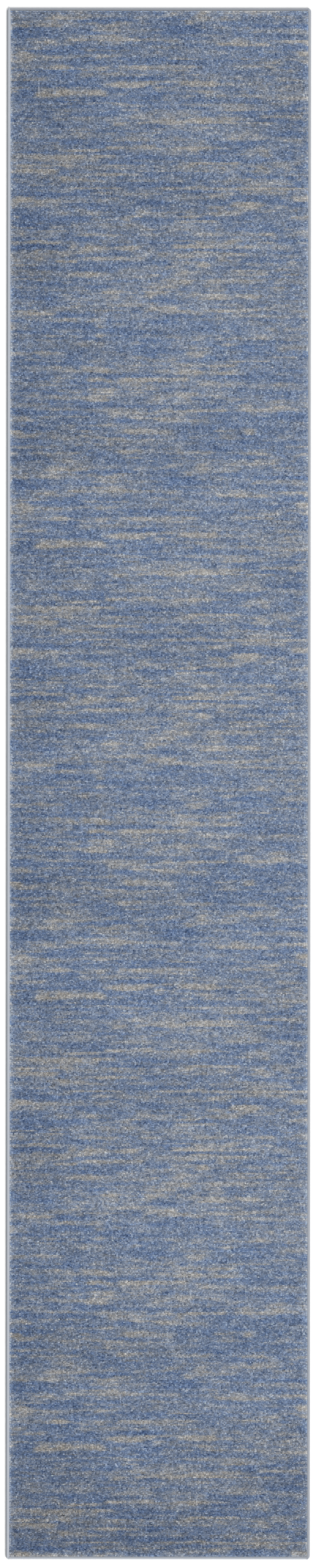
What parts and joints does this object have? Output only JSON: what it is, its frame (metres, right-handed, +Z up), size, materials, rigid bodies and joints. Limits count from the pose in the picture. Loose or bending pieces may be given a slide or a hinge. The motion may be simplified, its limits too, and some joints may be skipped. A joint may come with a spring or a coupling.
{
  "type": "runner rug",
  "caption": "Long narrow low-pile rug: cut pile in mixed blues with short beige cross streaks, woven ground, latex back and overcast edges.",
  "frame": {"origin": "middle of the rug's underside, on the floor", "axes": "+X across the rug's width, +Y along its length, +Z up out of the floor through the pile"},
  "size_m": [0.6, 3.06, 0.008],
  "materials": {
    "pile_yarn": "cut polypropylene pile, heathered blues and beige",
    "weft_yarn": "spun jute yarn, matte",
    "warp_yarn": "polyester and cotton yarn, matte",
    "latex": "thin dried latex size, satin",
    "core_cord": "twisted cord, matte",
    "overcast_yarn": "pale blue-grey polyester overcasting yarn, soft sheen",
    "label_satin": "blank woven satin tape",
    "sewing_thread": "polyester sewing thread"
  },
  "bodies": {
    "root": {"pile": "pile_yarn", "weft_shots": "weft_yarn", "stuffer_warps": "warp_yarn", "chain_warps": "warp_yarn", "latex_coat": "latex", "side_cord_left": "core_cord", "side_cord_right": "core_cord", "end_cord_head": "core_cord", "end_cord_foot": "core_cord", "side_overcast_left": "overcast_yarn", "side_overcast_right": "overcast_yarn", "end_overcast_head": "overcast_yarn", "end_overcast_foot": "overcast_yarn", "care_label": "label_satin", "label_stitching": "sewing_thread"}
  },
  "joints": []
}
